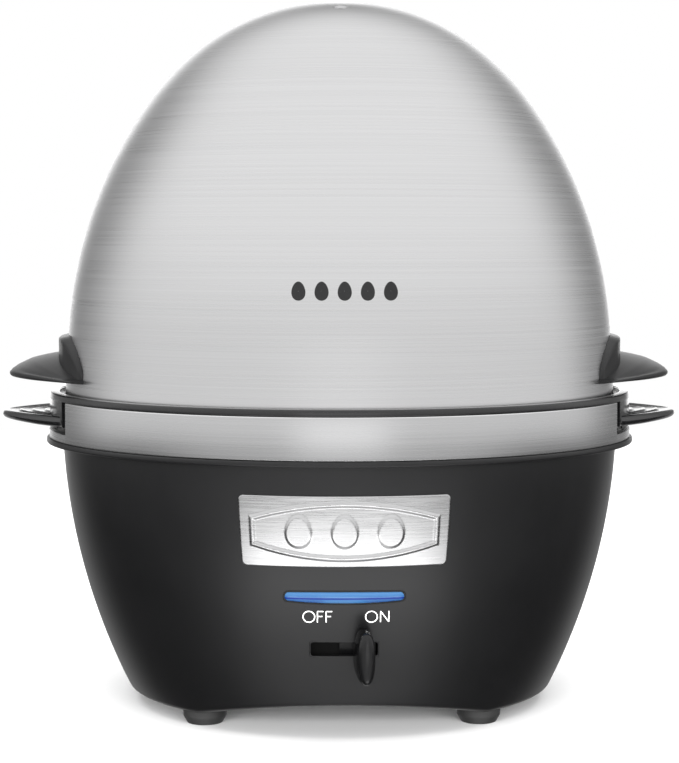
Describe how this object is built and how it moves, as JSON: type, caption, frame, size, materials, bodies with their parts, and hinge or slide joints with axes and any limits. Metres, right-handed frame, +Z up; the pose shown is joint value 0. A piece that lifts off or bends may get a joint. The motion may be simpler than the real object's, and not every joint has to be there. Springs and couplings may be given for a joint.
{
  "type": "egg cooker",
  "caption": "Electric egg cooker: domed steel lid with side handles, lift-out egg tray, steel rim band, round black base with slide switch, indicator bar and feet.",
  "frame": {"origin": "on the surface that the feet stand on, under the centre of the round base", "axes": "+Z up; the front with the nameplate, indicator and switch faces -Y; the handles lie along X"},
  "size_m": [0.2086, 0.1804, 0.2139],
  "materials": {
    "lid_steel": "brushed around the dome",
    "band_steel": "brushed around the band",
    "handle_black": "satin",
    "tray_black": "satin",
    "housing_black": "satin, fine moulded grain",
    "cover_black": "matt",
    "knob_black": "satin",
    "switch_black": "matt",
    "plate_steel": "spun",
    "gasket_rubber": "matt silicone",
    "bushing_rubber": "matt",
    "foot_rubber": "matt",
    "name_steel": "brushed",
    "lens_blue": "clear, lit blue",
    "screw_steel": "plated",
    "bracket_zinc": "zinc plated",
    "board_green": "solder resist",
    "spacer_nylon": "matt",
    "led_clear": "clear",
    "element_steel": "heat darkened",
    "shield_aluminium": "rolled",
    "thermostat_brown": "moulded resin",
    "fuse_white": "glazed",
    "terminal_white": "moulded",
    "buzzer_black": "matt",
    "lead_red": "silicone sleeve",
    "lead_white": "silicone sleeve"
  },
  "bodies": {
    "base": {"housing": "housing_black", "steel_band": "band_steel", "heating_plate": "plate_steel", "plate_gasket": "gasket_rubber", "bottom_cover": "cover_black", "bottom_cover_screws": "screw_steel", "foot_front_left": "foot_rubber", "foot_front_right": "foot_rubber", "foot_back_left": "foot_rubber", "foot_back_right": "foot_rubber", "nameplate": "name_steel", "indicator_lens": "lens_blue", "cord_bushing": "bushing_rubber", "slide_switch": "switch_black", "switch_bracket": "bracket_zinc", "bracket_screws": "screw_steel", "indicator_board": "board_green", "board_spacers": "spacer_nylon", "indicator_leds": "led_clear", "heating_element": "element_steel", "element_clamp": "bracket_zinc", "plate_stud": "screw_steel", "stud_nuts": "screw_steel", "heat_shield": "shield_aluminium", "thermostat": "thermostat_brown", "thermal_fuse": "fuse_white", "terminal_block": "terminal_white", "buzzer": "buzzer_black", "lead_block_to_switch": "lead_red", "lead_switch_to_element": "lead_red", "lead_block_to_element": "lead_white"},
    "tray": {"egg_tray": "tray_black"},
    "lid": {"lid_shell": "lid_steel", "lid_handle_left": "handle_black", "lid_handle_right": "handle_black", "lid_handle_screws": "screw_steel"},
    "switch": {"switch_knob": "knob_black"}
  },
  "joints": [
    {"name": "tray_lift", "type": "slide", "parent": "base", "child": "tray", "axis": [0, 0, 1], "range_m": [0, 0.06]},
    {"name": "lid_lift", "type": "slide", "parent": "tray", "child": "lid", "axis": [0, 0, 1], "range_m": [0, 0.12]},
    {"name": "switch_slide", "type": "slide", "parent": "base", "child": "switch", "axis": [1, 0, 0], "range_m": [-0.0108, 0]}
  ]
}
